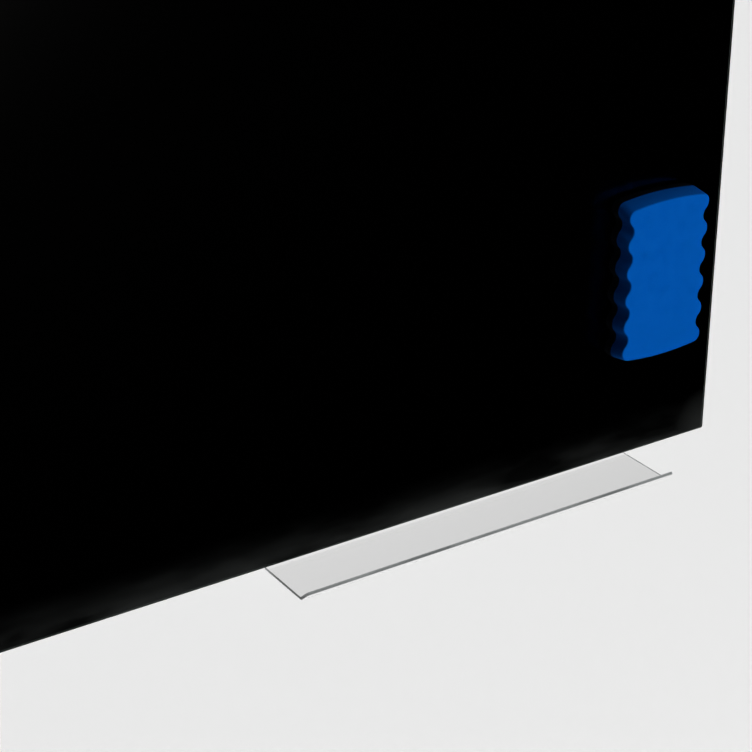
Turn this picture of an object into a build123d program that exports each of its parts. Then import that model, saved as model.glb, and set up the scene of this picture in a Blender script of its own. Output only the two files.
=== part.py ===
from build123d import *
import math
import os

# Frameless magnetic glass whiteboard, hung on two concealed wall rails, with a clear folded
# pen tray held behind its lower edge and a foam wiper held on its face. Millimetres.
# X runs along the board, Z is up and the board faces -Y. The wall is the plane Y = 0, and the
# origin is the centre of the four fixing slots in the wall rails.

# Glass, its black coat, and the steel behind it
board_width = 900.0
board_height = 600.0
glass_thickness = 4.0
glass_corner_radius = 1.5
glass_arris = 0.5
coat_thickness = 0.2
coat_inset = 0.1
film_thickness = 0.3
steel_thickness = 0.7
steel_inset = 12.0
film_inset = 3.0

# Room between the steel sheet and the wall
wall_gap = 10.0

# Wall rails
rail_from_side = 50.0
rail_wall = 2.0
rail_corner_radius = 0.5
slot_from_rail_end = 50.0
slot_from_edge = 70.0
slot_width = 6.0
slot_length = 16.0
flange_below_slot = 12.0
flange_above_slot = 9.0
hook_height = 12.0
hook_clearance = 0.3
hook_lead_in = 0.8
guide_groove_width = 1.2
guide_groove_depth = 0.5

# Board rails, which hook over the wall rails
board_rail_shorter = 10.0
board_flange_height = 24.0
hook_overlap = 10.0
tape_thickness = 0.8
tape_margin = 1.5

# Rubber buffers near the lower corners
buffer_diameter = 12.0
buffer_bevel = 1.0
buffer_from_side = 33.0
buffer_from_bottom = 56.0

# Folded clear pen tray
tray_length = 300.0
tray_from_right = 72.0
tray_sheet = 2.0
tray_bend_radius = 1.5
tray_drop = 2.2
tray_depth = 40.0
tray_flange_height = 40.0
tray_lip_forward = 8.5
tray_lip_rise = 7.5

# Tray magnets, let into the flange behind the board
tray_magnet_count = 4
tray_magnet_diameter = 12.0
tray_magnet_end_margin = 30.0
tray_magnet_top_margin = 10.5
tray_magnet_proud = 0.2
magnet_clearance = 0.1

# Foam wiper
eraser_width = 70.0
eraser_height = 119.6
eraser_end_draft = 2.3
eraser_right_gap = 28.6
eraser_bottom_gap = 81.0
foam_thickness = 13.5
felt_thickness = 6.5
eraser_tips = 6
notch_depth = 4.3
notch_radius = 6.6
eraser_end_rise = 2.8
eraser_corner_radius = 5.8
foam_edge_bevel = 0.7
eraser_magnet_diameter = 12.0
eraser_magnet_thickness = 3.0
eraser_magnet_span = 62.0

# How close an edge has to run to a corner of a section to be that corner's edge
same_place = 0.05

# Depths from the wall, worked out from the layers
steel_back = -wall_gap
film_back = steel_back - steel_thickness
coat_back = film_back - film_thickness
glass_back = coat_back - coat_thickness
glass_front = glass_back - glass_thickness
felt_front = glass_front - felt_thickness


# Rail lengths and the fixing pattern follow the board
rail_length = board_width - 2 * rail_from_side
board_rail_length = rail_length - 2 * board_rail_shorter
slot_span_x = rail_length - 2 * slot_from_rail_end
slot_span_z = board_height - 2 * slot_from_edge


def slab(sketch_face, back, thickness):
    """Extrude a face drawn in X and Z forward from the depth given as back."""
    return extrude(Plane.XZ.offset(-back) * sketch_face, thickness)


def sheet(width, height, back, thickness, corner=0.0):
    """A flat rectangular layer of the board, centred on the origin."""
    outline = RectangleRounded(width, height, corner) if corner else Rectangle(width, height)
    return slab(outline, back, thickness)


def profile(points, length, middle_x=0.0):
    """A section drawn in Y and Z, run along X on both sides of middle_x."""
    outline = Plane.YZ * make_face(Polyline(*points, close=True))
    return Pos(middle_x, 0, 0) * extrude(outline, length / 2, both=True)


def along_x(solid):
    """The long edges of a rail."""
    return solid.edges().filter_by(Axis.X)


def near_any(edge, places):
    """Whether a long edge runs through one of the places given in Y and Z."""
    middle = edge.center()
    return any(math.dist((middle.Y, middle.Z), place) < same_place for place in places)


def save(name, shape):
    """Write one node's solids."""
    shape.label = name
    export_step(shape, os.path.join("parts", name + ".step"))


# Board layers

def glass_panel():
    """Toughened glass with small corner radii and ground arrises on both faces."""
    panel = sheet(board_width, board_height, glass_back, glass_thickness, glass_corner_radius)
    rims = panel.faces().filter_by(Axis.Y).edges()
    return chamfer(rims, glass_arris)


def enamel_coat():
    """Black enamel on the back of the glass."""
    inset = 2 * coat_inset
    return sheet(board_width - inset, board_height - inset, coat_back, coat_thickness, glass_corner_radius)


def bonding_film():
    """Double-sided film that joins the steel to the coated glass."""
    inset = 2 * (steel_inset + film_inset)
    return sheet(board_width - inset, board_height - inset, film_back, film_thickness)


def steel_sheet():
    """Steel that makes the board magnetic, set in from the glass edge."""
    inset = 2 * steel_inset
    return sheet(board_width - inset, board_height - inset, steel_back, steel_thickness)


# Rails. Both are bent sections: a wall rail's leg points up, and a board rail's leg drops
# into the pocket behind it until the board rail's web sits on the leg's top edge.

pocket = rail_wall + 2 * hook_clearance
hook_top = flange_above_slot + hook_height
web_top = hook_top + rail_wall
tape_front = steel_back + tape_thickness


def wall_rail(slot_z):
    """A rail screwed to the wall through two slots."""
    leg_back = -pocket
    leg_front = leg_back - rail_wall
    shelf = flange_above_slot - rail_wall
    rail = profile(
        [
            (0, slot_z - flange_below_slot),
            (0, slot_z + flange_above_slot),
            (leg_back, slot_z + flange_above_slot),
            (leg_back, slot_z + hook_top - hook_lead_in),
            (leg_back - hook_lead_in, slot_z + hook_top),
            (leg_front, slot_z + hook_top),
            (leg_front, slot_z + shelf),
            (-rail_wall, slot_z + shelf),
            (-rail_wall, slot_z - flange_below_slot),
        ],
        rail_length,
    )
    rail = fillet(along_x(rail), rail_corner_radius)
    groove_side = guide_groove_width / 2
    rail -= profile(
        [
            (-rail_wall, slot_z - groove_side),
            (guide_groove_depth - rail_wall, slot_z),
            (-rail_wall, slot_z + groove_side),
        ],
        rail_length,
    )
    for slot_x in (-slot_span_x / 2, slot_span_x / 2):
        slot = Pos(slot_x, slot_z) * SlotOverall(slot_length, slot_width)
        rail -= slab(slot, rail_wall, 3 * rail_wall)
    return rail


def board_rail(slot_z):
    """A rail taped to the steel sheet, with a leg that hooks behind a wall rail's leg."""
    leg_back = -hook_clearance
    leg_front = leg_back - rail_wall
    flange_back = tape_front + rail_wall
    leg_tip = hook_top - hook_overlap
    rail = profile(
        [
            (leg_back, slot_z + leg_tip),
            (leg_back, slot_z + web_top),
            (flange_back, slot_z + web_top),
            (flange_back, slot_z + hook_top + board_flange_height),
            (tape_front, slot_z + hook_top + board_flange_height),
            (tape_front, slot_z + hook_top),
            (leg_front, slot_z + hook_top),
            (leg_front, slot_z + leg_tip + hook_lead_in),
            (leg_front + hook_lead_in, slot_z + leg_tip),
        ],
        board_rail_length,
    )
    return fillet(along_x(rail), rail_corner_radius)


def rail_tape(slot_z):
    """Foam tape between a board rail and the steel sheet."""
    middle = slot_z + hook_top + board_flange_height / 2
    strip = Rectangle(board_rail_length - 2 * tape_margin, board_flange_height - 2 * tape_margin)
    return slab(Pos(0, middle) * strip, tape_front, tape_thickness)


def buffers():
    """Two rubber buffers that keep the lower corners off the wall."""
    height = wall_gap - hook_clearance
    found = []
    for side in (-1, 1):
        x = side * (board_width / 2 - buffer_from_side)
        z = buffer_from_bottom - board_height / 2
        disc = slab(Pos(x, z) * Circle(buffer_diameter / 2), -hook_clearance, height)
        back_rim = disc.edges().sort_by(Axis.Y)[-1]
        found.append(chamfer(back_rim, buffer_bevel))
    return Compound(children=found)


# Pen tray

tray_right = board_width / 2 - tray_from_right
tray_middle = tray_right - tray_length / 2
shelf_top = -board_height / 2 - tray_drop
shelf_bottom = shelf_top - tray_sheet
flange_front = steel_back + tray_magnet_proud
flange_top = shelf_bottom + tray_flange_height
bend_front = glass_front - tray_depth
magnet_z = flange_top - tray_magnet_top_margin


def magnet_places():
    """Evenly spaced magnet centres along the tray flange."""
    span = tray_length - 2 * tray_magnet_end_margin
    step = span / (tray_magnet_count - 1)
    return [tray_middle - span / 2 + step * number for number in range(tray_magnet_count)]


def pen_tray():
    """One clear sheet, folded up behind the board and out again at the front as a lip."""
    lip_length = math.hypot(tray_lip_forward, tray_lip_rise)
    lip_angle = math.atan2(tray_lip_rise, tray_lip_forward)
    along = (-math.cos(lip_angle), math.sin(lip_angle))
    under = (-math.sin(lip_angle), -math.cos(lip_angle))
    miter = tray_sheet * math.tan(lip_angle / 2)
    tip_top = (bend_front + lip_length * along[0], shelf_top + lip_length * along[1])
    tip_under = (tip_top[0] + tray_sheet * under[0], tip_top[1] + tray_sheet * under[1])
    points = [
        (flange_front, flange_top),
        (flange_front, shelf_top),
        (bend_front, shelf_top),
        tip_top,
        tip_under,
        (bend_front - miter, shelf_bottom),
        (flange_front + tray_sheet, shelf_bottom),
        (flange_front + tray_sheet, flange_top),
    ]
    tray = profile(points, tray_length, tray_middle)
    for places, radius in (
        (points[1:3], tray_bend_radius),
        (points[5:7], tray_bend_radius + tray_sheet),
    ):
        bends = [edge for edge in along_x(tray) if near_any(edge, places)]
        tray = fillet(bends, radius)
    for magnet_x in magnet_places():
        bore = Pos(magnet_x, magnet_z) * Circle(tray_magnet_diameter / 2 + magnet_clearance)
        tray -= slab(bore, flange_front + 2 * tray_sheet, 3 * tray_sheet)
    return tray


def tray_magnets():
    """Disc magnets glued into the flange, a little proud of it, so that they meet the steel."""
    thickness = tray_sheet + tray_magnet_proud
    disc = Circle(tray_magnet_diameter / 2)
    found = [slab(Pos(x, magnet_z) * disc, steel_back + thickness, thickness) for x in magnet_places()]
    return Compound(children=found)


# Foam wiper

eraser_x = board_width / 2 - eraser_right_gap - eraser_width / 2
eraser_z = -board_height / 2 + eraser_bottom_gap + eraser_height / 2


def eraser_outline(height):
    """Bowed ends, rounded corners and a wave of finger notches down both long sides."""
    half_width = eraser_width / 2
    half_height = height / 2
    end_radius = (half_width**2 + eraser_end_rise**2) / (2 * eraser_end_rise)
    end_middle = half_height - end_radius
    corner_x = half_width - eraser_corner_radius
    reach = end_radius - eraser_corner_radius
    corner_z = end_middle + math.sqrt(reach**2 - corner_x**2)
    # The notches are spaced evenly between the two corners of a side, and each tip between
    # them is the arc that runs smoothly into both of its notches.
    pitch = 2 * corner_z / (eraser_tips - 1)
    both_radii = ((pitch / 2) ** 2 + notch_depth**2) / (2 * notch_depth)
    tip_radius = both_radii - notch_radius
    share = tip_radius / both_radii
    join_x = half_width - tip_radius + share * (both_radii - notch_depth)
    join_step = share * pitch / 2
    end_x = corner_x * end_radius / reach
    end_z = end_middle + (corner_z - end_middle) * end_radius / reach
    corner_turn = math.atan2(corner_z - end_middle, corner_x) / 2
    corner_mid_x = corner_x + eraser_corner_radius * math.cos(corner_turn)
    corner_mid_z = corner_z + eraser_corner_radius * math.sin(corner_turn)

    lines = []
    for side in (-1, 1):
        for number in range(eraser_tips - 1):
            tip = -corner_z + number * pitch
            next_tip = tip + pitch
            tip_point = (side * half_width, tip)
            first_join = (side * join_x, tip + join_step)
            last_join = (side * join_x, next_tip - join_step)
            notch = (side * (half_width - notch_depth), tip + pitch / 2)
            centre_x = half_width - tip_radius
            turn = math.atan2(join_step, join_x - centre_x) / 2
            rise = tip_radius * math.sin(turn)
            bulge = side * (centre_x + tip_radius * math.cos(turn))
            lines.append(ThreePointArc(tip_point, (bulge, tip + rise), first_join))
            lines.append(ThreePointArc(first_join, notch, last_join))
            lines.append(ThreePointArc(last_join, (bulge, next_tip - rise), (side * half_width, next_tip)))
        for end in (-1, 1):
            start = (side * half_width, end * corner_z)
            middle = (side * corner_mid_x, end * corner_mid_z)
            stop = (side * end_x, end * end_z)
            lines.append(ThreePointArc(start, middle, stop))
    for end in (-1, 1):
        lines.append(ThreePointArc((-end_x, end * end_z), (0, end * half_height), (end_x, end * end_z)))
    return make_face(lines)


def eraser_magnet_places():
    """The two magnet centres, one above the other, from the wiper's middle."""
    return [(eraser_x, eraser_z + side * eraser_magnet_span / 2) for side in (-1, 1)]


def eraser_foam():
    """Moulded foam grip, with drafted ends and pockets in its back for the magnets."""
    middle = Pos(eraser_x, eraser_z)
    back_face = Plane.XZ.offset(-felt_front) * middle * eraser_outline(eraser_height)
    front_height = eraser_height - 2 * eraser_end_draft
    front_plane = Plane.XZ.offset(foam_thickness - felt_front)
    foam = loft([back_face, front_plane * middle * eraser_outline(front_height)], ruled=True)
    front = foam.faces().sort_by(Axis.Y)[0]
    foam = chamfer(front.edges(), foam_edge_bevel)
    pocket_radius = eraser_magnet_diameter / 2 + magnet_clearance
    for x, z in eraser_magnet_places():
        foam -= slab(Pos(x, z) * Circle(pocket_radius), felt_front, eraser_magnet_thickness)
    return foam


def eraser_felt():
    """Wiping felt with the outline of the foam's back."""
    outline = eraser_outline(eraser_height)
    return slab(Pos(eraser_x, eraser_z) * outline, glass_front, felt_thickness)


def eraser_magnets():
    """Two disc magnets between the foam and the felt."""
    disc = Circle(eraser_magnet_diameter / 2)
    found = [
        slab(Pos(x, z) * disc, felt_front, eraser_magnet_thickness)
        for x, z in eraser_magnet_places()
    ]
    return Compound(children=found)


os.makedirs("parts", exist_ok=True)
top_slot = slot_span_z / 2
save("wall_rail_top", wall_rail(top_slot))
save("wall_rail_bottom", wall_rail(-top_slot))
save("board_rail_top", board_rail(top_slot))
save("board_rail_bottom", board_rail(-top_slot))
save("rail_tape_top", rail_tape(top_slot))
save("rail_tape_bottom", rail_tape(-top_slot))
save("steel_sheet", steel_sheet())
save("bonding_film", bonding_film())
save("enamel_coat", enamel_coat())
save("glass_panel", glass_panel())
save("wall_buffers", buffers())
save("pen_tray", pen_tray())
save("tray_magnets", tray_magnets())
save("eraser_foam", eraser_foam())
save("eraser_felt", eraser_felt())
save("eraser_magnets", eraser_magnets())
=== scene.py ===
import logging
import math
from contextlib import contextmanager
from dataclasses import dataclass, field
from enum import Enum
from typing import Any, Callable, Iterable, Iterator, NamedTuple, Sequence

import bmesh
import bpy
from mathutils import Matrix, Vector


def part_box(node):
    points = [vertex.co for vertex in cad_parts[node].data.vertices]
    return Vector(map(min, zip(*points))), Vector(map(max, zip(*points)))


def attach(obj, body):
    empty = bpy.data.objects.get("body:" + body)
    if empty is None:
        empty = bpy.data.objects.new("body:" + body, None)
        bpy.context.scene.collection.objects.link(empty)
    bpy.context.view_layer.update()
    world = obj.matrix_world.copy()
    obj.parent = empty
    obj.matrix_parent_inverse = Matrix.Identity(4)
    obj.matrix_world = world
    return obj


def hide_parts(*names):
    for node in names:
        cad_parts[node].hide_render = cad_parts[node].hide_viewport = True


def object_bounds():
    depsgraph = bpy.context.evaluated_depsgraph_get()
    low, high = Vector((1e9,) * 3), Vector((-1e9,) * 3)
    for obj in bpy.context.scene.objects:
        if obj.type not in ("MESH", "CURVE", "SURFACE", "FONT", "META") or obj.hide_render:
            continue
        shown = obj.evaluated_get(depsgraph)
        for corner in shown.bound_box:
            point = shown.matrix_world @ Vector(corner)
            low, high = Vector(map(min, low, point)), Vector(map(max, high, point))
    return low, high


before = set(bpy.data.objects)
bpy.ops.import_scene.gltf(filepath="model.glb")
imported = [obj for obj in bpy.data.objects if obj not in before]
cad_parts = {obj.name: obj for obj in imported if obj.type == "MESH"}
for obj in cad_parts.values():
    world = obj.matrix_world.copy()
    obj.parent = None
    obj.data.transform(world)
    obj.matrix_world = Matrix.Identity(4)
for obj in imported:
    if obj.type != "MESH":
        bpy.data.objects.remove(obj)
cad_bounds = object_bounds()

logging.basicConfig(level=logging.INFO, format="%(message)s")
log = logging.getLogger("glass_board")

Object = bpy.types.Object
Material = bpy.types.Material
Node = bpy.types.Node
Socket = bpy.types.NodeSocket
Pair = tuple[float, float]

MM = 0.001
MM_PER_METRE = 1000.0
SMOOTH_ANGLE = math.radians(32)
MERGE_DISTANCE = 0.002 * MM
QUAD_CORNERS = 4
CLIP_START = 0.01
WHITE = (1.0, 1.0, 1.0, 1.0)

# Ranges of a value: the middle, where most of a noise lies, and the whole
MIDDLE = (0.3, 0.7)
WHOLE = (0.0, 1.0)

# A ray's bounces are whole numbers, so fewer than this is none
NO_BOUNCE = 0.5

# The materials made so far, by name
BUILT: dict[str, Material] = {}

# What the photograph's perspective gives: the camera's place from the board's lower right
# front corner in metres, the way it points, and the lens for a 36 mm wide sensor.
CAMERA_FROM_CORNER = Vector((-0.92810, -0.98445, 0.66732))
CAMERA_YAW = math.radians(33.0)
CAMERA_PITCH = math.radians(25.16)
CAMERA_LENS = 96.07
SENSOR_WIDTH = 36.0


class Body(Enum):
    """The bodies that pieces ride on."""

    RAILS = "wall_rails"
    BOARD = "board"
    TRAY = "tray"
    ERASER = "eraser"


class Layout(Enum):
    """Which way a pattern is stretched on a piece."""

    EVEN = (1.0, 1.0, 1.0)
    ALONG_X = (0.02, 1.0, 1.0)
    CLOUDS = (0.3, 1.0, 1.0)


def linear(hex_colour: str) -> tuple[float, float, float, float]:
    """Turn an sRGB hex colour into the linear colour that a shader takes.

    Args:
        hex_colour: Six hex digits, with or without a leading hash.

    Returns:
        Linear red, green and blue, and an alpha of 1.
    """
    digits = hex_colour.lstrip("#")
    parts = [int(digits[place:place + 2], 16) / 255 for place in (0, 2, 4)]
    straight = [c / 12.92 if c <= 0.04045 else ((c + 0.055) / 1.055) ** 2.4 for c in parts]
    return (straight[0], straight[1], straight[2], 1.0)


def per_metre(size_mm: float) -> float:
    """Texture scale whose features are about size_mm across on Object coordinates."""
    return MM_PER_METRE / size_mm


@dataclass(frozen=True)
class Grain:
    """A noise of a real size.

    Attributes:
        size_mm: The size of its features.
        detail: How many finer layers it has.
        rough: How strong the finer layers are.
        layout: How it is stretched.
    """

    size_mm: float
    detail: float = 3.0
    rough: float = 0.55
    layout: Layout = Layout.EVEN


@dataclass(frozen=True)
class Nodes:
    """A node tree while it is being filled."""

    tree: bpy.types.NodeTree

    @classmethod
    def of(cls, owner: bpy.types.ID) -> "Nodes":
        """The emptied node tree of a material or a world.

        Args:
            owner: The material or world.

        Returns:
            Its tree, ready to be filled.
        """
        owner.use_nodes = True
        owner.node_tree.nodes.clear()
        return cls(owner.node_tree)

    def add(self, kind: str, settings: dict[str, Any] | None = None,
            inputs: dict[Any, Any] | None = None) -> Node:
        """Add a node with its settings and inputs.

        Args:
            kind: Blender's name for the kind of node.
            settings: Properties to set on the node.
            inputs: Input names or numbers, each with a plain value or a socket to link.

        Returns:
            The new node.
        """
        node = self.tree.nodes.new(kind)
        for name, value in (settings or {}).items():
            setattr(node, name, value)
        self.fill(node, inputs or {})
        return node

    def fill(self, node: Node, inputs: dict[Any, Any]) -> None:
        """Fill or link the inputs of a node.

        Args:
            node: The node.
            inputs: What goes into it, as for add.
        """
        for key, value in inputs.items():
            if isinstance(value, bpy.types.NodeSocket):
                self.tree.links.new(value, node.inputs[key])
            else:
                node.inputs[key].default_value = value

    def maths(self, operation: str, first: Any, second: Any) -> Socket:
        """Work out one value from two.

        Args:
            operation: Blender's name for the sum.
            first: A plain value or a socket.
            second: A plain value or a socket.

        Returns:
            The socket that carries the result.
        """
        return self.add("ShaderNodeMath", {"operation": operation}, {0: first, 1: second}).outputs[0]

    def mix(self, share: Socket, first: Node, second: Node) -> Node:
        """Mix two shaders, with all of the second where the share is 1."""
        return self.add("ShaderNodeMixShader", inputs={
            0: share, 1: first.outputs[0], 2: second.outputs[0],
        })

    def place(self, layout: Layout = Layout.EVEN) -> Socket:
        """Object coordinates, stretched as the layout says.

        Args:
            layout: How the pattern is stretched.

        Returns:
            The socket that carries the coordinates.
        """
        coordinates = self.add("ShaderNodeTexCoord").outputs["Object"]
        return self.add("ShaderNodeMapping", inputs={
            "Vector": coordinates, "Scale": layout.value,
        }).outputs[0]

    def noise(self, grain: Grain, output: str = "Fac") -> Socket:
        """A noise on Object coordinates.

        Args:
            grain: Its size, and how fine it is.
            output: "Fac" for one value, 0 to 1, or "Color" for three.

        Returns:
            The socket that carries the noise.
        """
        return self.add("ShaderNodeTexNoise", inputs={
            "Vector": self.place(grain.layout), "Scale": per_metre(grain.size_mm),
            "Detail": grain.detail, "Roughness": grain.rough,
        }).outputs[output]

    def spread(self, value: Socket, ends: Pair, within: Pair = MIDDLE) -> Socket:
        """Map a value from one range to another.

        Args:
            value: The value.
            ends: What its low and high end become. Past them the result stays the same.
            within: Its low and high end.

        Returns:
            The socket that carries the new value.
        """
        return self.add("ShaderNodeMapRange", inputs={
            "Value": value, "From Min": within[0], "From Max": within[1],
            "To Min": ends[0], "To Max": ends[1],
        }).outputs[0]


@dataclass(frozen=True)
class Finish:
    """A finish: the plain values that its whole surface shares, and what varies over it.

    Attributes:
        name: The material's name.
        colour: Main colour in sRGB hex.
        roughness: Middle roughness.
        metallic: 1 for bare metal.
        ior: Index of refraction, left alone on metal.
        specular: Strength of the surface reflection.
        transmission: 1 for a clear material.
        pale: The paler colour that the shade brings in.
        shade: The noise that varies the colour, or None.
        shade_range: The values of that noise that give the two colours.
        wear: The noise that varies the roughness, or None.
        strays: How far it takes the roughness down and up.
        relief: The noise that raises the surface, or None.
        relief_mm: How deep the relief is.
    """

    name: str
    colour: str
    roughness: float
    metallic: float = 0.0
    ior: float = 1.5
    specular: float = 0.5
    transmission: float = 0.0
    pale: str = "#FFFFFF"
    shade: Grain | None = None
    shade_range: Pair = MIDDLE
    wear: Grain | None = None
    strays: Pair = (0.0, 0.0)
    relief: Grain | None = None
    relief_mm: float = 0.0

    def build(self) -> Material:
        """Make the material once, and give it back on later calls.

        Returns:
            The finished material.
        """
        if self.name in BUILT:
            return BUILT[self.name]
        material = bpy.data.materials.new(self.name)
        BUILT[self.name] = material
        nodes = Nodes.of(material)
        shader = nodes.add("ShaderNodeBsdfPrincipled", inputs={
            "Base Color": linear(self.colour),
            "Roughness": self.roughness,
            "Metallic": self.metallic,
            "IOR": self.ior,
            "Specular IOR Level": self.specular,
            "Transmission Weight": self.transmission,
        })
        nodes.add("ShaderNodeOutputMaterial", inputs={"Surface": shader.outputs[0]})
        nodes.fill(shader, self.pattern(nodes))
        material.diffuse_color = linear(self.colour)
        return material

    def pattern(self, nodes: Nodes) -> dict[str, Socket]:
        """What varies over the surface.

        Args:
            nodes: The material's nodes.

        Returns:
            A socket for each input of the shader that varies.
        """
        varied: dict[str, Socket] = {}
        if self.shade:
            shade = nodes.spread(nodes.noise(self.shade), WHOLE, self.shade_range)
            varied["Base Color"] = self.tint(nodes, shade)
        if self.wear:
            varied["Roughness"] = self.roughen(nodes, nodes.noise(self.wear))
        if self.relief:
            varied["Normal"] = self.bump(nodes, nodes.noise(self.relief))
        return varied

    def tint(self, nodes: Nodes, value: Socket) -> Socket:
        """The colour between the finish's main one and the paler one.

        Args:
            nodes: The material's nodes.
            value: 0 for the main colour, 1 for the paler one.

        Returns:
            The socket that carries the colour.
        """
        return nodes.add("ShaderNodeMix", {"data_type": "RGBA"}, {
            "Factor": value, "A": linear(self.colour), "B": linear(self.pale),
        }).outputs["Result"]

    def roughen(self, nodes: Nodes, value: Socket, within: Pair = MIDDLE) -> Socket:
        """The roughness, straying from its middle.

        Args:
            nodes: The material's nodes.
            value: The value that it follows.
            within: The value's low and high end.

        Returns:
            The socket that carries the roughness.
        """
        ends = (self.roughness + self.strays[0], self.roughness + self.strays[1])
        return nodes.spread(value, ends, within)

    def bump(self, nodes: Nodes, height: Socket) -> Socket:
        """The surface's direction where it is raised.

        Args:
            nodes: The material's nodes.
            height: The height, 0 to 1.

        Returns:
            The socket that carries the direction.
        """
        return nodes.add("ShaderNodeBump", inputs={
            "Height": height, "Distance": self.relief_mm * MM, "Strength": 1.0,
        }).outputs[0]


@dataclass(frozen=True)
class FloatGlass(Finish):
    """Toughened float glass, etched against glare, with a painted glow along its lower edge.

    Attributes:
        painted_glow: How much of the light the glass scatters back as painted glow, where the glow is
            strongest.
        edge_mm: How far the painted glow reaches up from the lower edge.
        edge_fade: The power by which it thins on the way up.
        clouds: The clouds that break it up.
        cloud_share: The share of the glow in the weakest and the strongest cloud.
        cloud_range: The values of the clouds' noise that give those two.
        corner_mm: How far the painted glow reaches round the lower right corner.
        corner_share: The share of the glow at that corner.
    """

    wear: Grain = Grain(90.0, 2.0)
    strays: Pair = (-0.012, 0.012)
    painted_glow: float = 0.028
    edge_mm: float = 34.0
    edge_fade: float = 2.2
    clouds: Grain = Grain(22.0, layout=Layout.CLOUDS)
    cloud_share: Pair = (0.1, 0.75)
    cloud_range: Pair = (0.35, 0.65)
    corner_mm: float = 34.0
    corner_share: float = 0.7

    def pattern(self, nodes: Nodes) -> dict[str, Socket]:
        """The etching's slight unevenness, and the painted glow, where the glass is made less clear.

        Args:
            nodes: The material's nodes.

        Returns:
            A socket for each input of the shader that varies.
        """
        # Painted glow: the glass is less clear along its lower edge and at its lower right corner.
        glowing = nodes.maths("MAXIMUM", self.edge_glow(nodes), self.corner_glow(nodes))
        clear = nodes.spread(glowing, (1.0, 1.0 - self.painted_glow), WHOLE)
        return super().pattern(nodes) | {"Transmission Weight": clear}

    def edge_glow(self, nodes: Nodes) -> Socket:
        """Painted glow in a cloudy band along the lower edge, strongest at the edge itself.

        Args:
            nodes: The material's nodes.

        Returns:
            The socket that carries how strong the painted glow is, 0 to 1.
        """
        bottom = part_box("glass_panel")[0][2]
        parts = nodes.add("ShaderNodeSeparateXYZ", inputs={"Vector": nodes.place()})
        near = nodes.spread(parts.outputs["Z"], (1.0, 0.0), (bottom, bottom + self.edge_mm * MM))
        share = nodes.spread(nodes.noise(self.clouds), self.cloud_share, self.cloud_range)
        return nodes.maths("MULTIPLY", nodes.maths("POWER", near, self.edge_fade), share)

    def corner_glow(self, nodes: Nodes) -> Socket:
        """Painted glow round the lower right corner.

        Args:
            nodes: The material's nodes.

        Returns:
            The socket that carries how dusty the glass is, 0 to 1.
        """
        low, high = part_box("glass_panel")
        reach = nodes.add("ShaderNodeVectorMath", {"operation": "DISTANCE"}, {
            0: nodes.place(), 1: (high[0], low[1], low[2]),
        })
        return nodes.spread(reach.outputs["Value"], (self.corner_share, 0.0),
                            (0.0, self.corner_mm * MM))


@dataclass(frozen=True)
class FiredEnamel(Finish):
    """Enamel fired on the back of glass: a deep black, faintly clouded by the screen printing."""

    pale: str = "#040404"
    shade: Grain = Grain(30.0, layout=Layout.CLOUDS)


@dataclass(frozen=True)
class CastAcrylic(Finish):
    """Clear cast acrylic, line bent and flame polished: slowly uneven, with a haze from handling."""

    wear: Grain = Grain(7.0, 4.0)
    strays: Pair = (-0.01, 0.0)
    relief: Grain = Grain(45.0, 1.0)
    relief_mm: float = 0.03


@dataclass(frozen=True)
class CutEdge(Finish):
    """Sawn edge of acrylic or ground edge of glass: frosted, with the tool's short marks."""

    pale: str = "#9A9E9E"
    shade: Grain = Grain(50.0, 2.0)
    shade_range: Pair = (0.4, 0.6)
    relief: Grain = Grain(1.2)
    relief_mm: float = 0.04


@dataclass(frozen=True)
class MouldedFoam(Finish):
    """Closed-cell EVA foam, cut and heat-skinned: matt, slowly mottled, with fine cells.

    Attributes:
        cell_mm: Size of a cell. Real ones are 0.3 mm, and are drawn larger so that they show.
        cell_round: How far the walls between cells are rounded.
    """

    pale: str = "#0352A9"
    shade: Grain = Grain(9.0, 4.0)
    wear: Grain = Grain(9.0, 4.0)
    strays: Pair = (-0.06, 0.06)
    relief_mm: float = 0.04
    cell_mm: float = 0.9
    cell_round: float = 0.4

    def pattern(self, nodes: Nodes) -> dict[str, Socket]:
        """The mottling, and the cells.

        Args:
            nodes: The material's nodes.

        Returns:
            A socket for each input of the shader that varies.
        """
        cells = nodes.add("ShaderNodeTexVoronoi", {"feature": "SMOOTH_F1"}, {
            "Vector": nodes.place(), "Scale": per_metre(self.cell_mm),
            "Smoothness": self.cell_round,
        })
        return super().pattern(nodes) | {"Normal": self.bump(nodes, cells.outputs["Distance"])}


@dataclass(frozen=True)
class NeedledFelt(Finish):
    """Needle-punched felt: a tangle of fine dark fibres that drinks light, in uneven patches."""

    pale: str = "#161B26"
    shade: Grain = Grain(6.0, 2.0)
    relief: Grain = Grain(1.1, 6.0, 0.7)
    relief_mm: float = 0.35


@dataclass(frozen=True)
class GalvanisedSheet(Finish):
    """Hot-dip galvanised steel: crystals of zinc that each shine a little differently.

    Attributes:
        crystal_mm: Size of a crystal.
        feathering: The noise that the crystals' edges follow as they wander.
        feather_share: How far they wander.
    """

    pale: str = "#B9BEC2"
    strays: Pair = (-0.1, 0.12)
    crystal_mm: float = 8.0
    feathering: Grain = Grain(6.0, 3.0, 0.5)
    feather_share: float = 0.004

    def pattern(self, nodes: Nodes) -> dict[str, Socket]:
        """The spangle, whose crystals each have a shade and a roughness.

        Args:
            nodes: The material's nodes.

        Returns:
            A socket for each input of the shader that varies.
        """
        wander = nodes.add("ShaderNodeMix", {"data_type": "VECTOR"}, {
            "Factor": self.feather_share, "A": nodes.place(),
            "B": nodes.noise(self.feathering, "Color"),
        })
        crystals = nodes.add("ShaderNodeTexVoronoi", inputs={
            "Vector": wander.outputs["Result"], "Scale": per_metre(self.crystal_mm),
        })
        chance = nodes.add("ShaderNodeSeparateColor", inputs={"Color": crystals.outputs["Color"]})
        return {"Base Color": self.tint(nodes, chance.outputs[0]),
                "Roughness": self.roughen(nodes, chance.outputs[1], WHOLE)}


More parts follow.
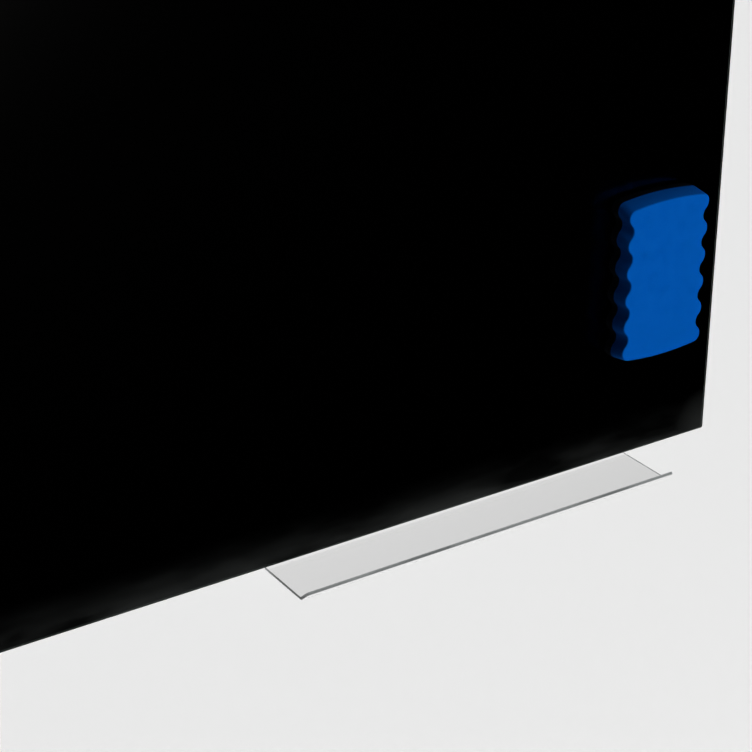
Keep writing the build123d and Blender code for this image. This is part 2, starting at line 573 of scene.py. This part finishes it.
@dataclass(frozen=True)
class ExtrudedAluminium(Finish):
    """Mill-finish metal with dull patches, and fine lines drawn coarse so that they show."""

    pale: str = "#C9CCCE"
    shade: Grain = Grain(0.8, 4.0, 0.7, Layout.ALONG_X)
    wear: Grain = Grain(40.0)
    strays: Pair = (-0.07, 0.08)
    relief: Grain = Grain(0.8, 4.0, 0.7, Layout.ALONG_X)
    relief_mm: float = 0.02


@dataclass(frozen=True)
class GrainedPlastic(Finish):
    """A matt rubber, tape or film with a fine even grain and slow change of shade."""

    shade: Grain = Grain(12.0)
    relief: Grain = Grain(0.8)
    relief_mm: float = 0.03


GLASS = FloatGlass("anti_glare_toughened_glass", "#F4FBF8", 0.15, ior=1.52, specular=0.1,
                   transmission=1.0)
ENAMEL = FiredEnamel("black_fired_enamel", "#010101", 0.5, specular=0.0)
ACRYLIC = CastAcrylic("clear_cast_acrylic", "#FBFBFB", 0.02, ior=1.49, transmission=1.0)
ACRYLIC_EDGE = CutEdge("sawn_acrylic_edge", "#7C8080", 0.45, ior=1.49, transmission=0.25)
GLASS_EDGE = CutEdge("ground_glass_edge", "#3B4542", 0.42, ior=1.52, transmission=0.35,
                     pale="#48534F")
FOAM = MouldedFoam("blue_eva_foam", "#004EA5", 0.8, specular=0.04)
FELT = NeedledFelt("dark_needled_felt", "#0B0E16", 0.95, specular=0.1)
STEEL = GalvanisedSheet("hot_dip_galvanised_steel", "#A1A7AC", 0.38, metallic=1.0)
ALUMINIUM = ExtrudedAluminium("mill_finish_aluminium", "#B4B8BB", 0.34, metallic=1.0)
RUBBER = GrainedPlastic("moulded_black_rubber", "#161616", 0.72, pale="#242424")
TAPE = GrainedPlastic("white_foam_tape", "#DAD9D4", 0.8, pale="#CBC9C2", relief=Grain(0.5))
FILM = GrainedPlastic("acrylic_bonding_film", "#C9CBC8", 0.45, pale="#B9BCB8", relief_mm=0.01)
NICKEL = ExtrudedAluminium("plated_nickel", "#BDBAB2", 0.16, metallic=1.0, pale="#D0CEC8")


@contextmanager
def editing(mesh: bpy.types.Mesh) -> Iterator[bmesh.types.BMesh]:
    """Open a mesh for editing, and write it back at the end.

    Args:
        mesh: The mesh.

    Yields:
        The copy to edit.
    """
    shell = bmesh.new()
    shell.from_mesh(mesh)
    yield shell
    shell.to_mesh(mesh)
    shell.free()


def add_object(name: str, data: bpy.types.ID) -> Object:
    """Make an object and link it to the scene.

    Args:
        name: Its name.
        data: Its mesh, lamp or camera.

    Returns:
        The new object.
    """
    obj = bpy.data.objects.new(name, data)
    bpy.context.scene.collection.objects.link(obj)
    return obj


def mesh_object(name: str, points: Sequence[Sequence[float]],
                faces: Iterable[Sequence[int]]) -> Object:
    """Make an object from points and faces, with its faces turned outward.

    Args:
        name: The piece's name.
        points: Its vertices in metres.
        faces: Vertex numbers of each face.

    Returns:
        The new object, linked to the scene.
    """
    mesh = bpy.data.meshes.new(name)
    mesh.from_pydata([tuple(point) for point in points], [], [tuple(face) for face in faces])
    with editing(mesh) as shell:
        bmesh.ops.recalc_face_normals(shell, faces=shell.faces)
    return add_object(name, mesh)


def from_solid(cad_node: str, name: str) -> Object:
    """Copy a solid's mesh into a new piece, with its doubled points merged.

    Args:
        cad_node: The solid's node.
        name: The new piece's name.

    Returns:
        The new piece.
    """
    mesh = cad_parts[cad_node].data.copy()
    mesh.name = name
    with editing(mesh) as shell:
        bmesh.ops.remove_doubles(shell, verts=shell.verts, dist=MERGE_DISTANCE)
    obj = add_object(name, mesh)
    smooth(obj)
    return obj


def smooth(obj: Object) -> None:
    """Shade a piece smoothly, with crisp edges where it turns sharply.

    Args:
        obj: The piece.
    """
    with editing(obj.data) as shell:
        for face in shell.faces:
            face.smooth = True
        for edge in shell.edges:
            edge.smooth = len(edge.link_faces) == 2 and edge.calc_face_angle(0.0) < SMOOTH_ANGLE


def dress(obj: Object, finish: Finish, body: Body, cad_node: str | None) -> Object:
    """Give a piece its material and its body, and hide the solid that it stands for.

    Args:
        obj: The piece.
        finish: Its finish.
        body: The body that it rides on.
        cad_node: The solid that it replaces, or None.

    Returns:
        The same piece.
    """
    obj.data.materials.clear()
    obj.data.materials.append(finish.build())
    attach(obj, body.value)
    if cad_node:
        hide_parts(cad_node)
    log.info("%s: %d faces, %s", obj.name, len(obj.data.polygons), finish.name)
    return obj


def dress_edges(obj: Object, finish: Finish,
                is_edge: Callable[[bpy.types.MeshPolygon], bool]) -> None:
    """Give the cut edges of a sheet a finish of their own.

    Args:
        obj: The sheet, already dressed.
        finish: The finish of its edges.
        is_edge: Whether a face belongs to an edge.
    """
    obj.data.materials.append(finish.build())
    for polygon in obj.data.polygons:
        polygon.material_index = int(is_edge(polygon))


@dataclass
class HangingRails:
    """The two slotted rails on the wall.

    Attributes:
        nodes: Their solids' nodes.
    """

    nodes: tuple[str, ...] = ("wall_rail_top", "wall_rail_bottom")

    def build(self) -> list[Object]:
        """Copy each rail and dress it.

        Returns:
            The two rails.
        """
        return [dress(from_solid(node, node + "_bar"), ALUMINIUM, Body.RAILS, node) for node in self.nodes]


@dataclass
class Board:
    """The glass with its coat, steel, rails and buffers.

    Attributes:
        coat_bite: How far the coat reaches into the glass, so that no air shows between them.
        face_turn: How square to the board a face of the glass has to be to be left clear.
        layers: The layers behind the glass, each with its finish and slot.
    """

    coat_bite: float = 0.03 * MM
    face_turn: float = 0.99
    layers: dict[str, tuple[Finish, str]] = field(default_factory=lambda: {
        "steel_sheet": (STEEL, "galvanised_steel"),
        "bonding_film": (FILM, "bonding_film"),
        "board_rail_top": (ALUMINIUM, "rail_aluminium"),
        "board_rail_bottom": (ALUMINIUM, "rail_aluminium"),
        "rail_tape_top": (TAPE, "foam_tape"),
        "rail_tape_bottom": (TAPE, "foam_tape"),
        "wall_buffers": (RUBBER, "black_rubber"),
    })

    def build(self) -> list[Object]:
        """Make every layer, from the glass back.

        Returns:
            The pieces of the board.
        """
        made = [self.glass(), self.coat()]
        for node, (finish, slot) in self.layers.items():
            made.append(dress(from_solid(node, node + "_part"), finish, Body.BOARD, node))
        return made

    def glass(self) -> Object:
        """The clear panel, with its edges and arrises ground.

        Returns:
            The panel.
        """
        panel = dress(from_solid("glass_panel", "glass_pane"), GLASS, Body.BOARD, "glass_panel")
        dress_edges(panel, GLASS_EDGE, lambda polygon: abs(polygon.normal.y) < self.face_turn)
        return panel

    def coat(self) -> Object:
        """The black coat, set a hair into the glass.

        Returns:
            The coat.
        """
        coat = from_solid("enamel_coat", "enamel_layer")
        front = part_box("enamel_coat")[0][1]
        for vertex in coat.data.vertices:
            if abs(vertex.co.y - front) < self.coat_bite:
                vertex.co.y -= self.coat_bite
        return dress(coat, ENAMEL, Body.BOARD, "enamel_coat")


@dataclass
class PenTray:
    """The folded clear tray and the magnets in its flange.

    Attributes:
        end_turn: How square to X a face has to be to be a sawn end, or to Z to be the flange's top.
        lip_turn: How square to the lip's slope a face has to be to be the lip's sawn edge.
        lip_slope: Direction up the lip, in Y and Z.
    """

    end_turn: float = 0.99
    lip_turn: float = 0.98
    lip_slope: Pair = (-8.5, 7.5)

    def sawn(self, polygon: bpy.types.MeshPolygon) -> bool:
        """Whether a face is one of the sheet's sawn edges.

        Args:
            polygon: The face.

        Returns:
            True for the two ends, the lip's edge and the flange's top.
        """
        slope = Vector((0.0, *self.lip_slope)).normalized()
        outward = polygon.normal
        top = outward.z > self.end_turn and polygon.center.z > self.flange_middle()
        return abs(outward.x) > self.end_turn or outward.dot(slope) > self.lip_turn or top

    def flange_middle(self) -> float:
        """Height of the middle of the flange."""
        low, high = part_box("pen_tray")
        return (low[2] + high[2]) / 2

    def build(self) -> list[Object]:
        """Make the tray and its magnets.

        Returns:
            The two pieces.
        """
        tray = dress(from_solid("pen_tray", "folded_tray"), ACRYLIC, Body.TRAY, "pen_tray")
        dress_edges(tray, ACRYLIC_EDGE, self.sawn)
        # Light passes a clear sheet, so it throws no shadow worth the name.
        tray.visible_shadow = False
        # The etched face of the board blurs the image of so clear a sheet away.
        tray.visible_glossy = False
        discs = from_solid("tray_magnets", "flange_magnets")
        return [tray, dress(discs, NICKEL, Body.TRAY, "tray_magnets")]


@dataclass(frozen=True)
class LooseFibres:
    """Short tapered fibres that stand out of a surface.

    Attributes:
        length: Length of the longest.
        density: Fibres in a square metre.
        seed: Seed of their places, turns and lengths.
        sides: Corners of a fibre's section.
        tip_radius: Its radius at the tip.
        root_radius: Its radius where it grows.
        lean: How far it leans each way from straight out, in radians.
        spin: How far it turns each way about itself, in radians.
        shortest: The shortest fibre as a share of the longest.
    """

    length: float = 0.8 * MM
    density: float = 900000.0
    seed: int = 7
    sides: int = 3
    tip_radius: float = 0.01 * MM
    root_radius: float = 0.045 * MM
    lean: float = 0.9
    spin: float = 3.1
    shortest: float = 0.35

    def grow(self, carrier: Object, finish: Finish) -> None:
        """Turn a surface into the fibres that grow on it.

        Args:
            carrier: The surface.
            finish: The fibres' finish.
        """
        tree = self.tree(finish.build())
        modifier = carrier.modifiers.new("fibres", "NODES")
        modifier.node_group = tree
        values = {"Length": self.length, "Density": self.density, "Seed": self.seed}
        for item in tree.interface.items_tree:
            if item.in_out == "INPUT" and item.name in values:
                modifier[item.identifier] = values[item.name]
        grown = carrier.evaluated_get(bpy.context.evaluated_depsgraph_get())
        mesh = bpy.data.meshes.new_from_object(grown)
        carrier.modifiers.clear()
        carrier.data = mesh

    def tree(self, material: Material) -> bpy.types.GeometryNodeTree:
        """Geometry nodes that scatter a fibre over a surface.

        Args:
            material: The material of the fibres.

        Returns:
            The node tree, with inputs for the length, density and seed.
        """
        tree = bpy.data.node_groups.new("loose_fibres", "GeometryNodeTree")
        kinds = {"Geometry": "Geometry", "Length": "Float", "Density": "Float", "Seed": "Int"}
        for name, kind in kinds.items():
            tree.interface.new_socket(name, in_out="INPUT", socket_type="NodeSocket" + kind)
        tree.interface.new_socket("Geometry", in_out="OUTPUT", socket_type="NodeSocketGeometry")
        nodes = Nodes(tree)
        given = nodes.add("NodeGroupInput").outputs
        spots = nodes.add("GeometryNodeDistributePointsOnFaces", inputs={
            "Mesh": given["Geometry"], "Density": given["Density"], "Seed": given["Seed"],
        })
        fibre = nodes.add("GeometryNodeMeshCone", inputs={
            "Vertices": self.sides, "Side Segments": 1, "Fill Segments": 1,
            "Radius Top": self.tip_radius, "Radius Bottom": self.root_radius,
            "Depth": given["Length"],
        })
        wild = nodes.add("FunctionNodeRandomValue", {"data_type": "FLOAT_VECTOR"}, {
            "Min": (-self.lean, -self.lean, -self.spin), "Max": (self.lean, self.lean, self.spin),
            "Seed": given["Seed"],
        })
        turned = nodes.add("FunctionNodeRotateRotation", {"rotation_space": "LOCAL"}, {
            "Rotation": spots.outputs["Rotation"], "Rotate By": wild.outputs["Value"],
        })
        size = nodes.add("FunctionNodeRandomValue", inputs={
            "Min": self.shortest, "Max": 1.0, "Seed": given["Seed"],
        })
        placed = nodes.add("GeometryNodeInstanceOnPoints", inputs={
            "Points": spots.outputs["Points"], "Instance": fibre.outputs["Mesh"],
            "Rotation": turned.outputs[0], "Scale": size.outputs[1],
        })
        real = nodes.add("GeometryNodeRealizeInstances", inputs={"Geometry": placed.outputs[0]})
        dressed = nodes.add("GeometryNodeSetMaterial", inputs={
            "Geometry": real.outputs[0], "Material": material,
        })
        nodes.add("NodeGroupOutput", inputs={0: dressed.outputs[0]})
        return tree


class Span(NamedTuple):
    """Where a solid of the wiper lies and how large it is."""

    middle_x: float
    middle_z: float
    width: float
    height: float
    back: float
    front: float


@dataclass
class Wiper:
    """The foam wiper: a grip with a wave of finger notches, its felt and its magnets.

    Attributes:
        tips: Tips along each long side.
        notch_depth: Depth of a finger notch.
        notch_radius: Radius of a finger notch.
        end_rise: How far the short ends bow out.
        corner_radius: Radius of the four corners.
        end_draft: How much shorter the foam's front is at each end than its back.
        edge_radius: Softness of the foam's front edge.
        arc_steps: Points on each arc of the outline.
        edge_steps: Rings on the soft edge.
        pile: How far the felt's trimmed edge stands in from the foam's.
        swell: How far the felt's edge swells back, as a share of the pile.
        side_turn: How square to the front a face of the felt may be and still grow fibres.
        loose: The loose fibres on the felt's edge.
    """

    tips: int = 6
    notch_depth: float = 4.3 * MM
    notch_radius: float = 6.6 * MM
    end_rise: float = 2.8 * MM
    corner_radius: float = 5.8 * MM
    end_draft: float = 2.3 * MM
    edge_radius: float = 0.9 * MM
    arc_steps: int = 10
    edge_steps: int = 4
    pile: float = 0.25 * MM
    swell: float = 0.6
    side_turn: float = 0.5
    loose: LooseFibres = LooseFibres()

    def build(self) -> list[Object]:
        """Make the foam, the felt with its loose fibres, and the magnets.

        Returns:
            The pieces of the wiper.
        """
        foam, felt = self.foam(), self.felt()
        fibres = self.fibres(felt)
        magnets = dress(from_solid("eraser_magnets", "wiper_magnets"), NICKEL, Body.ERASER,
                        "eraser_magnets")
        return [foam, felt, fibres, magnets]

    def arc(self, centre: Pair, radius: float, start: float, stop: float) -> list[Pair]:
        """Points along an arc, without its last point.

        Args:
            centre: The arc's centre.
            radius: Its radius.
            start: The angle of its first point.
            stop: The angle where it ends.

        Returns:
            The points in order.
        """
        turns = [start + (stop - start) * step / self.arc_steps for step in range(self.arc_steps)]
        return [(centre[0] + radius * math.cos(t), centre[1] + radius * math.sin(t)) for t in turns]

    def outline(self, width: float, height: float) -> list[Pair]:
        """The wiper's outline about its own middle, going round once.

        Args:
            width: Width over the tips.
            height: Height over the bowed ends.

        Returns:
            Points in X and Z.
        """
        half_width = width / 2
        end_radius = (half_width**2 + self.end_rise**2) / (2 * self.end_rise)
        end_middle = height / 2 - end_radius
        corner_x = half_width - self.corner_radius
        reach = end_radius - self.corner_radius
        corner_z = end_middle + math.sqrt(reach**2 - corner_x**2)
        lean = math.atan2(corner_z - end_middle, corner_x)
        pitch = 2 * corner_z / (self.tips - 1)
        both = ((pitch / 2) ** 2 + self.notch_depth**2) / (2 * self.notch_depth)
        tip_radius = both - self.notch_radius
        swing = math.atan2(pitch / 2, both - self.notch_depth)
        tip_x = half_width - tip_radius
        notch_x = half_width - self.notch_depth + self.notch_radius
        right = self.arc((corner_x, -corner_z), self.corner_radius, -lean, 0.0)
        for number in range(self.tips - 1):
            tip_z = -corner_z + number * pitch
            right += self.arc((tip_x, tip_z), tip_radius, 0.0, swing)
            right += self.arc((notch_x, tip_z + pitch / 2), self.notch_radius,
                              math.pi + swing, math.pi - swing)
            right += self.arc((tip_x, tip_z + pitch), tip_radius, -swing, 0.0)
        right += self.arc((corner_x, corner_z), self.corner_radius, 0.0, lean)
        top = self.arc((0.0, end_middle), end_radius, lean, math.pi - lean)
        # Half a turn about the middle takes the right side and the top to the left and bottom.
        half = right + top
        return half + [(-x, -z) for x, z in half]

    def span(self, node: str) -> Span:
        """Where a solid lies, read from the frame.

        Args:
            node: The solid's node.

        Returns:
            Its middle, size, back and front.
        """
        low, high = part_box(node)
        return Span((low[0] + high[0]) / 2, (low[2] + high[2]) / 2, high[0] - low[0],
                    high[2] - low[2], high[1], low[1])

    def inset(self, outline: Sequence[Pair], depth: float) -> list[Pair]:
        """Move an outline inward, square to itself.

        Args:
            outline: The closed outline, anticlockwise.
            depth: How far it moves.

        Returns:
            The smaller outline, point for point.
        """
        moved = []
        for number, (x, z) in enumerate(outline):
            before = outline[number - 1]
            after = outline[(number + 1) % len(outline)]
            along = Vector((after[0] - before[0], after[1] - before[1])).normalized()
            moved.append((x - along.y * depth, z + along.x * depth))
        return moved

    def block(self, name: str, node: str, rings: Sequence[Pair], draft: float = 0.0) -> Object:
        """A block with the wiper's outline, closed at the back and the front.

        Args:
            name: The piece's name.
            node: The solid whose place and size it takes.
            rings: Each ring's Y and how far it stands in from the outline, from the back.
            draft: How much shorter the front ring is at each end than the back ring.

        Returns:
            The block.
        """
        span = self.span(node)
        points = []
        for y, depth in rings:
            share = (span.back - y) / (span.back - span.front)
            outline = self.outline(span.width, span.height - 2 * draft * share)
            points += [(span.middle_x + x, y, span.middle_z + z)
                       for x, z in self.inset(outline, depth)]
        count = len(points) // len(rings)
        faces: list[Sequence[int]] = [range(count), range(len(points) - count, len(points))]
        for ring in range(len(rings) - 1):
            for number in range(count):
                low = ring * count + number
                low_next = ring * count + (number + 1) % count
                faces.append((low, low_next, low_next + count, low + count))
        block = mesh_object(name, points, faces)
        with editing(block.data) as shell:
            ends = [face for face in shell.faces if len(face.verts) > QUAD_CORNERS]
            bmesh.ops.triangulate(shell, faces=ends, ngon_method="EAR_CLIP")
        smooth(block)
        return block

    def foam(self) -> Object:
        """The blue grip, its front edge softened by the heat of the cut.

        Returns:
            The grip.
        """
        span = self.span("eraser_foam")
        rings = [(span.back, self.edge_radius / 2), (span.back - self.edge_radius / 2, 0.0)]
        for step in range(self.edge_steps + 1):
            turn = math.pi / 2 * step / self.edge_steps
            rings.append((span.front + self.edge_radius * (1 - math.sin(turn)),
                          self.edge_radius * (1 - math.cos(turn))))
        grip = self.block("foam_grip", "eraser_foam", rings, self.end_draft)
        dress(grip, FOAM, Body.ERASER, "eraser_foam")
        return grip

    def felt(self) -> Object:
        """The felt, trimmed a little inside the foam.

        Returns:
            The felt.
        """
        span = self.span("eraser_felt")
        swell = self.pile * self.swell
        middle = (span.back + span.front) / 2
        rings = [(span.back, self.pile), (span.back - swell, self.pile - swell), (middle, 0.0),
                 (span.front + swell, self.pile - swell), (span.front, self.pile)]
        felt = self.block("wiping_felt", "eraser_felt", rings)
        dress(felt, FELT, Body.ERASER, "eraser_felt")
        return felt

    def fibres(self, felt: Object) -> Object:
        """Loose fibres that stand out of the felt's trimmed edge.

        Args:
            felt: The felt that they grow from.

        Returns:
            All the fibres as one plain mesh.
        """
        sides = [polygon.vertices for polygon in felt.data.polygons
                 if abs(polygon.normal.y) < self.side_turn]
        carrier = mesh_object("felt_fibres", [vertex.co for vertex in felt.data.vertices], sides)
        self.loose.grow(carrier, FELT)
        return dress(carrier, FELT, Body.ERASER, None)


@dataclass
class Studio:
    """The wall, floor, lamps and camera. Lengths are in metres.

    Attributes:
        wall_colour: The wall's paint in sRGB hex.
        floor_colour: The floor's.
        floor_lift: The share of plain wall colour that the camera sees in the floor.
        floor_drop: How far the floor lies below the board.
        floor_reach: How far the floor comes out from the wall.
        wall_side: Half the wall's width and height.
        wall_gap: How far the wall stands behind the rails.
        key_strength: Strength of the front lamp.
        key_towards: The way its light travels.
        rear_strength: Strength of the lamp that lights the back.
        rear_towards: The way its light travels.
        lamp_angle: How wide the lamps look, which softens their shadows.
        fill_strength: Strength of the dim light from all round.
        sheen_strength: Strength of the sheen that the glass mirrors round the key lamp.
        sheen_reach: How far round the lamp it reaches.
    """

    wall_colour: str = "#E9E9E9"
    floor_colour: str = "#D2D2D2"
    floor_lift: float = 0.7
    floor_drop: float = 0.9
    floor_reach: float = 0.55
    wall_side: float = 3.0
    wall_gap: float = 0.4 * MM
    key_strength: float = 2.85
    key_towards: tuple[float, float, float] = (-0.10, 1.0, -0.01)
    rear_strength: float = 1.8
    rear_towards: tuple[float, float, float] = (0.35, -1.0, -0.30)
    lamp_angle: float = math.radians(12)
    fill_strength: float = 0.07
    sheen_strength: float = 0.4
    sheen_reach: float = math.radians(24)

    def build(self) -> None:
        """Set up everything round the object."""
        self.wall()
        self.floor()
        key = self.lamp("key", self.key_strength, self.key_towards)
        # As with a polarised lamp, the glass mirrors the room's soft sheen and no hot spot.
        key.visible_glossy = False
        key.visible_transmission = False
        self.lamp("rear", self.rear_strength, self.rear_towards)
        self.world()
        self.camera()
        bpy.context.scene.view_settings.view_transform = "Standard"

    def paint(self, name: str, shade: str, lift: float, one_sided: bool) -> Material:
        """Matt paint for the room.

        Args:
            name: The material's name.
            shade: Its colour in sRGB hex.
            lift: The share of plain wall colour that the camera sees in it.
            one_sided: Whether it is clear from behind, so that the back of the board shows.

        Returns:
            The paint.
        """
        material = bpy.data.materials.new(name)
        nodes = Nodes.of(material)
        colour = nodes.add("ShaderNodeBsdfDiffuse", inputs={"Color": linear(shade)})
        # Metal and glass show the pale wall also where the board shades it.
        rays = nodes.add("ShaderNodeLightPath")
        shown = nodes.add("ShaderNodeEmission", inputs={"Color": linear(self.wall_colour)})
        lifted = nodes.maths("MULTIPLY", rays.outputs["Is Camera Ray"], lift)
        share = nodes.maths("MAXIMUM", rays.outputs["Is Glossy Ray"], lifted)
        paint = nodes.mix(share, colour, shown)
        if one_sided:
            side = nodes.add("ShaderNodeNewGeometry")
            paint = nodes.mix(side.outputs["Backfacing"], paint, nodes.add("ShaderNodeBsdfTransparent"))
        nodes.add("ShaderNodeOutputMaterial", inputs={"Surface": paint.outputs[0]})
        return material

    def wall(self) -> None:
        """The wall just behind the rails, facing the camera."""
        paint = self.paint("wall_paint", self.wall_colour, 0.0, True)
        wall = self.surface("wall", (0.0, self.wall_gap, 0.0), (0.0, 0.0, self.wall_side), paint)
        # The lamp behind it lights the back of the board.
        wall.visible_shadow = False

    def floor(self) -> None:
        """A pale strip of floor along the wall."""
        height = cad_bounds[0][2] - self.floor_drop
        paint = self.paint("floor_paint", self.floor_colour, self.floor_lift, False)
        self.surface("floor", (0.0, 0.0, height), (0.0, self.floor_reach, 0.0), paint)

    def surface(self, name: str, middle: Sequence[float], side: Sequence[float],
                material: Material) -> Object:
        """A flat surface of the room, as wide as the wall.

        Args:
            name: Its name.
            middle: Its middle.
            side: From its middle to the middle of its far side.
            material: Its paint.

        Returns:
            The surface.
        """
        across = Vector((self.wall_side, 0.0, 0.0))
        near = Vector(middle) - Vector(side)
        far = Vector(middle) + Vector(side)
        corners = [near - across, near + across, far + across, far - across]
        mesh = bpy.data.meshes.new(name)
        mesh.from_pydata(corners, [], [(0, 1, 2, 3)])
        mesh.materials.append(material)
        obj = add_object(name, mesh)
        return obj

    def lamp(self, name: str, strength: float, towards: Sequence[float]) -> Object:
        """A broad soft lamp, far away.

        Args:
            name: Its name.
            strength: Its strength.
            towards: The way its light travels.

        Returns:
            The lamp.
        """
        data = bpy.data.lights.new(name, "SUN")
        data.energy = strength
        data.angle = self.lamp_angle
        lamp = add_object(name, data)
        lamp.rotation_euler = Vector(towards).to_track_quat("-Z", "Y").to_euler()
        return lamp

    def world(self) -> None:
        """A room that is pale behind the board and dim in front of it.

        The camera sees it pale all round, also through the clear tray. Metal and glass
        mirror the pale half behind. The front half is dark to them but for a broad faint
        sheen round the key lamp, because black glass shows black only where the room
        before it is unlit.
        """
        world = bpy.data.worlds.new("room")
        nodes = Nodes.of(world)
        rays = nodes.add("ShaderNodeLightPath")
        towards = nodes.add("ShaderNodeTexCoord").outputs["Generated"]
        dim = nodes.add("ShaderNodeBackground", inputs={
            "Color": WHITE, "Strength": self.dimness(nodes, rays, towards),
        })
        pale = nodes.add("ShaderNodeBackground", inputs={"Color": linear(self.wall_colour)})
        mixed = nodes.mix(self.paleness(nodes, rays, towards), dim, pale)
        nodes.add("ShaderNodeOutputWorld", inputs={"Surface": mixed.outputs[0]})
        bpy.context.scene.world = world

    def paleness(self, nodes: Nodes, rays: Node, towards: Socket) -> Socket:
        """Where the room shows its pale colour.

        Args:
            nodes: The world's nodes.
            rays: Its light path node.
            towards: The way a ray travels.

        Returns:
            The socket that carries 1 where a ray sees the pale room, and 0 elsewhere.
        """
        bounces = nodes.maths("ADD", rays.outputs["Glossy Depth"], rays.outputs["Diffuse Depth"])
        straight = nodes.maths("LESS_THAN", bounces, NO_BOUNCE)
        direct = nodes.maths("MAXIMUM", rays.outputs["Is Camera Ray"],
                             rays.outputs["Is Transmission Ray"])
        seen = nodes.maths("MULTIPLY", direct, straight)
        parts = nodes.add("ShaderNodeSeparateXYZ", inputs={"Vector": towards})
        behind = nodes.maths("GREATER_THAN", parts.outputs["Y"], 0.0)
        mirrored = nodes.maths("MULTIPLY", rays.outputs["Is Glossy Ray"], behind)
        return nodes.maths("MAXIMUM", seen, mirrored)

    def dimness(self, nodes: Nodes, rays: Node, towards: Socket) -> Socket:
        """How bright the room is where it isn't pale.

        Args:
            nodes: The world's nodes.
            rays: Its light path node.
            towards: The way a ray travels.

        Returns:
            The socket that carries the sheen for rays that were mirrored, and the fill for others.
        """
        matt = nodes.maths("LESS_THAN", rays.outputs["Glossy Depth"], NO_BOUNCE)
        to_key = -Vector(self.key_towards).normalized()
        facing = nodes.add("ShaderNodeVectorMath", {"operation": "DOT_PRODUCT"}, {
            0: towards, 1: to_key,
        })
        sheen = nodes.add("ShaderNodeMapRange", {"interpolation_type": "SMOOTHSTEP"}, {
            "Value": facing.outputs["Value"], "From Min": math.cos(self.sheen_reach),
            "From Max": 1.0, "To Min": 0.0, "To Max": self.sheen_strength,
        })
        return nodes.add("ShaderNodeMix", inputs={
            "Factor": matt, "A": sheen.outputs[0], "B": self.fill_strength,
        }).outputs[0]

    def camera(self) -> None:
        """The camera, placed from the board's lower right front corner."""
        low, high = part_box("glass_panel")
        data = bpy.data.cameras.new("camera")
        data.sensor_width = SENSOR_WIDTH
        data.lens = CAMERA_LENS
        data.clip_start = CLIP_START
        camera = add_object("camera", data)
        camera.location = Vector((high[0], low[1], low[2])) + CAMERA_FROM_CORNER
        towards = Vector((math.sin(CAMERA_YAW) * math.cos(CAMERA_PITCH),
                          math.cos(CAMERA_YAW) * math.cos(CAMERA_PITCH),
                          -math.sin(CAMERA_PITCH)))
        camera.rotation_euler = towards.to_track_quat("-Z", "Y").to_euler()
        bpy.context.scene.camera = camera


def main() -> None:
    """Build every part of the board, then the studio round it."""
    pieces: list[Object] = []
    for part in (HangingRails(), Board(), PenTray(), Wiper()):
        made = part.build()
        log.info("%s: %d pieces", type(part).__name__, len(made))
        pieces += made
    Studio().build()
    log.info("%d pieces in all", len(pieces))


if __name__ == "__main__":
    main()
